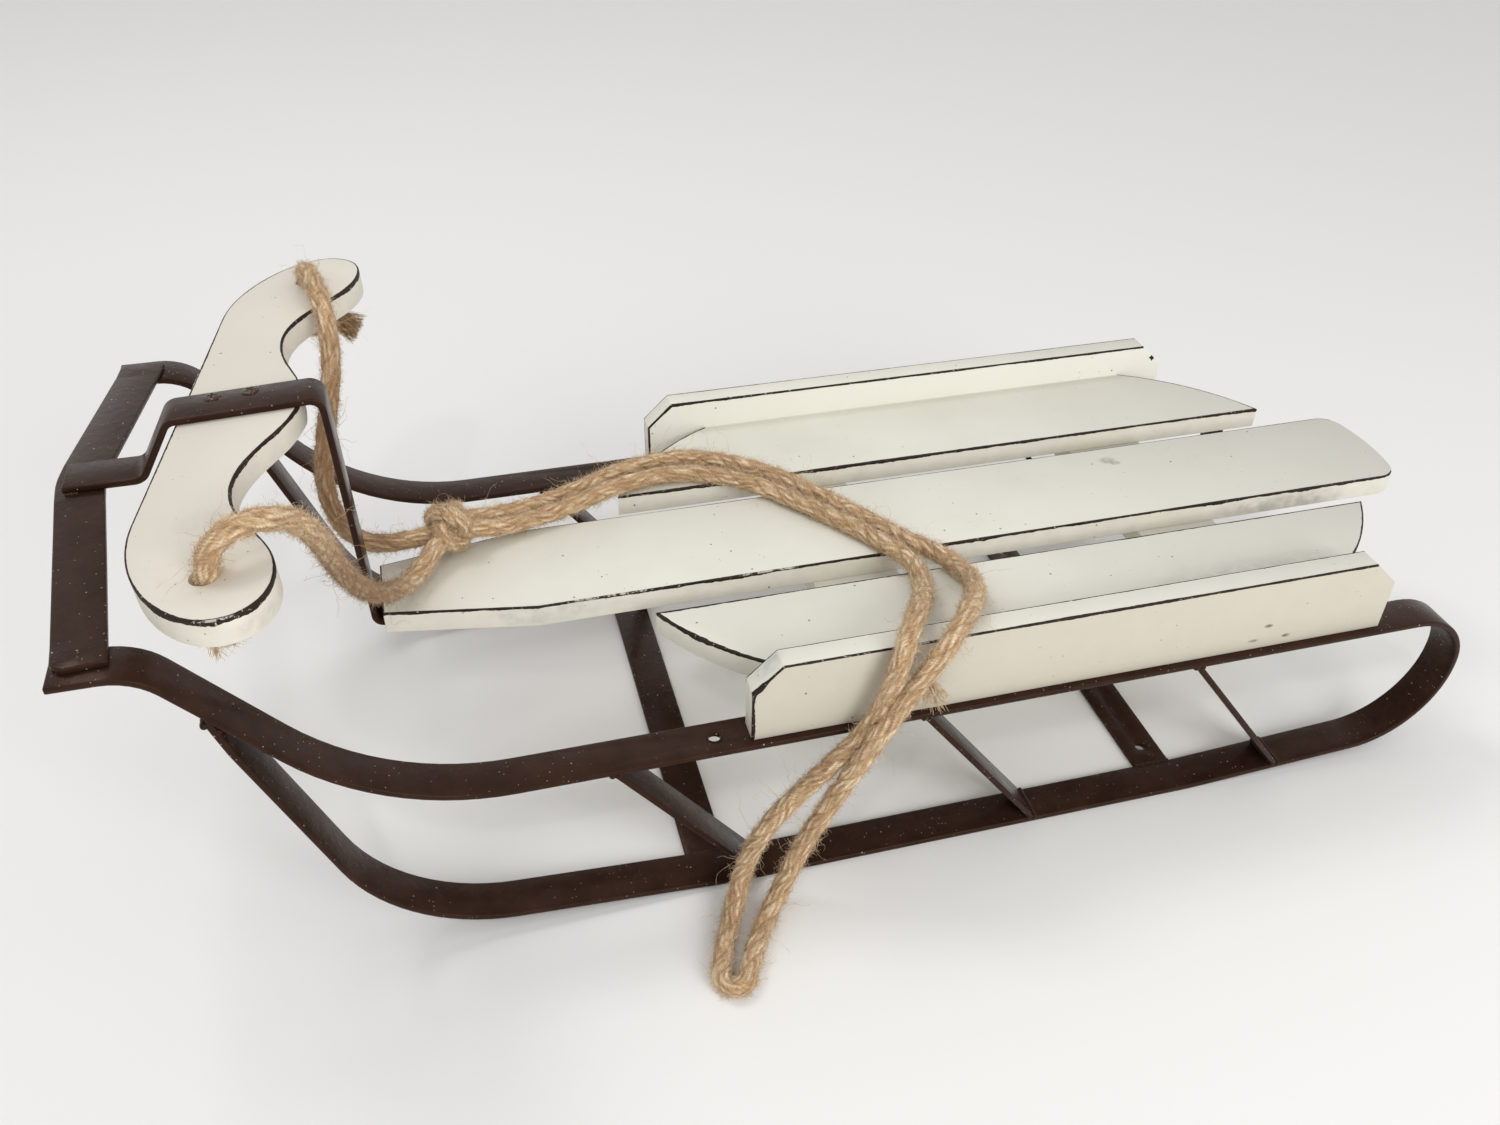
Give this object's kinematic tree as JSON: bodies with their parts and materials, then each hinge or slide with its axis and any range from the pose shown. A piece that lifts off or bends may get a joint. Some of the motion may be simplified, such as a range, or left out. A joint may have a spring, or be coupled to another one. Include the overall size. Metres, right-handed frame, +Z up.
{
  "type": "wooden sled",
  "caption": "Small decorative sled with white boards on a dark flat-strap frame, a shaped steering bar under a strap hoop and a jute tow rope.",
  "frame": {"origin": "on the floor, below the middle of the sled's length and width", "axes": "+X forward, towards the steering bar, +Y to the rider's left, +Z up"},
  "size_m": [0.6802, 0.3339, 0.2465],
  "materials": {
    "painted_strap": "semi-gloss",
    "white_board": "satin",
    "jute_rope": "rough"
  },
  "bodies": {
    "root": {"centre_slat": "white_board", "front_bearer": "white_board", "front_bumper": "painted_strap", "front_cross_strap": "painted_strap", "hoop_strap": "painted_strap", "left_lead": "jute_rope", "left_runner_loop": "painted_strap", "left_side_board": "white_board", "left_slat": "white_board", "left_stop_knot": "jute_rope", "left_strut_front": "painted_strap", "left_strut_middle": "painted_strap", "left_strut_rear": "painted_strap", "rear_bearer": "white_board", "rear_cross_strap": "painted_strap", "right_lead": "jute_rope", "right_runner_loop": "painted_strap", "right_side_board": "white_board", "right_slat": "white_board", "right_stop_knot": "jute_rope", "right_strut_front": "painted_strap", "right_strut_middle": "painted_strap", "right_strut_rear": "painted_strap", "steering_bar": "white_board", "tow_knot": "jute_rope", "tow_loop": "jute_rope"}
  },
  "joints": []
}
